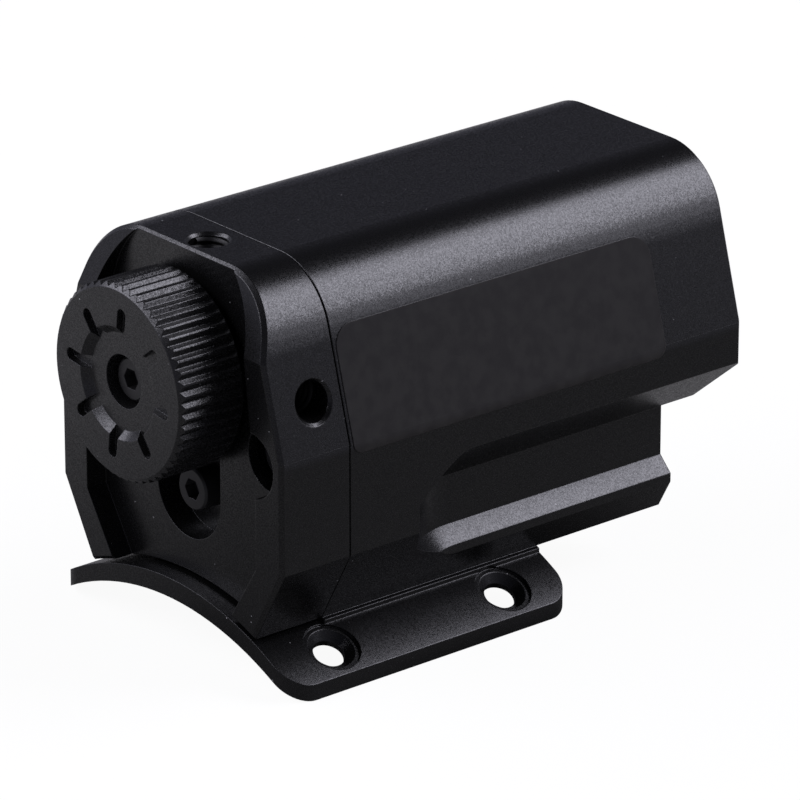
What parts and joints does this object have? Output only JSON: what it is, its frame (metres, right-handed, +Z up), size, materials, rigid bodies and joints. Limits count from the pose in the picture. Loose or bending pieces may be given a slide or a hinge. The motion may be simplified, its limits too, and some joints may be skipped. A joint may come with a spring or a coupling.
{
  "type": "infrared illuminator",
  "caption": "Compact machined infrared illuminator with a curved saddle base, side dovetail grooves and a slotted, knurled focus knob at its rear.",
  "frame": {"origin": "middle of the footprint, on the plane that the saddle's two long edges stand on", "axes": "+Y is the way the light shines, from the knob to the lens; +Z is up from the saddle to the flat top; +X is the side with the bush's side set screw"},
  "size_m": [0.0378, 0.0666, 0.0422],
  "materials": {
    "black_anodised_aluminium": "bead blasted and black anodised",
    "clear_anodised_aluminium": "machined",
    "stainless_steel": "satin",
    "bearing_brass": "machined",
    "black_rubber": "matt",
    "coated_glass": "polished, coated for infrared",
    "white_circuit_board": "solder mask",
    "green_circuit_board": "solder mask",
    "emitter_resin": "clear resin",
    "component_black": "moulded",
    "thermal_gel": "matt",
    "insulator": "moulded"
  },
  "bodies": {
    "main_body": {"housing": "black_anodised_aluminium", "rear_block": "black_anodised_aluminium", "block_gasket": "black_rubber", "block_screws": "stainless_steel", "recess_screw": "stainless_steel", "bush_set_screws": "stainless_steel", "spindle_bush": "bearing_brass", "spindle_seal": "black_rubber", "guide_pin": "stainless_steel", "front_lens": "coated_glass", "lens_seal": "black_rubber", "lens_ring": "black_anodised_aluminium", "driver_board": "green_circuit_board", "driver_chip": "component_black", "driver_coil": "component_black", "thermal_pad": "thermal_gel", "contact_block": "insulator", "contact_pins": "bearing_brass"},
    "knob": {"focus_knob": "black_anodised_aluminium", "knob_screw": "stainless_steel", "spindle": "stainless_steel", "retaining_clip": "stainless_steel"},
    "light_carriage": {"led_carriage": "clear_anodised_aluminium", "led_board": "white_circuit_board", "led_emitter": "emitter_resin", "board_screws": "stainless_steel"}
  },
  "joints": [
    {"name": "knob_turn", "type": "hinge", "parent": "main_body", "child": "knob", "pos_m": [0, -0.0333, 0.03], "axis": [0, -1, 0], "range_deg": [0, 315]},
    {"name": "carriage_slide", "type": "slide", "parent": "main_body", "child": "light_carriage", "axis": [0, 1, 0], "range_m": [0, 0.00525]}
  ],
  "couplings": [
    {"joint": "carriage_slide", "follows": "knob_turn", "m_per_rad": 0.00095493}
  ]
}
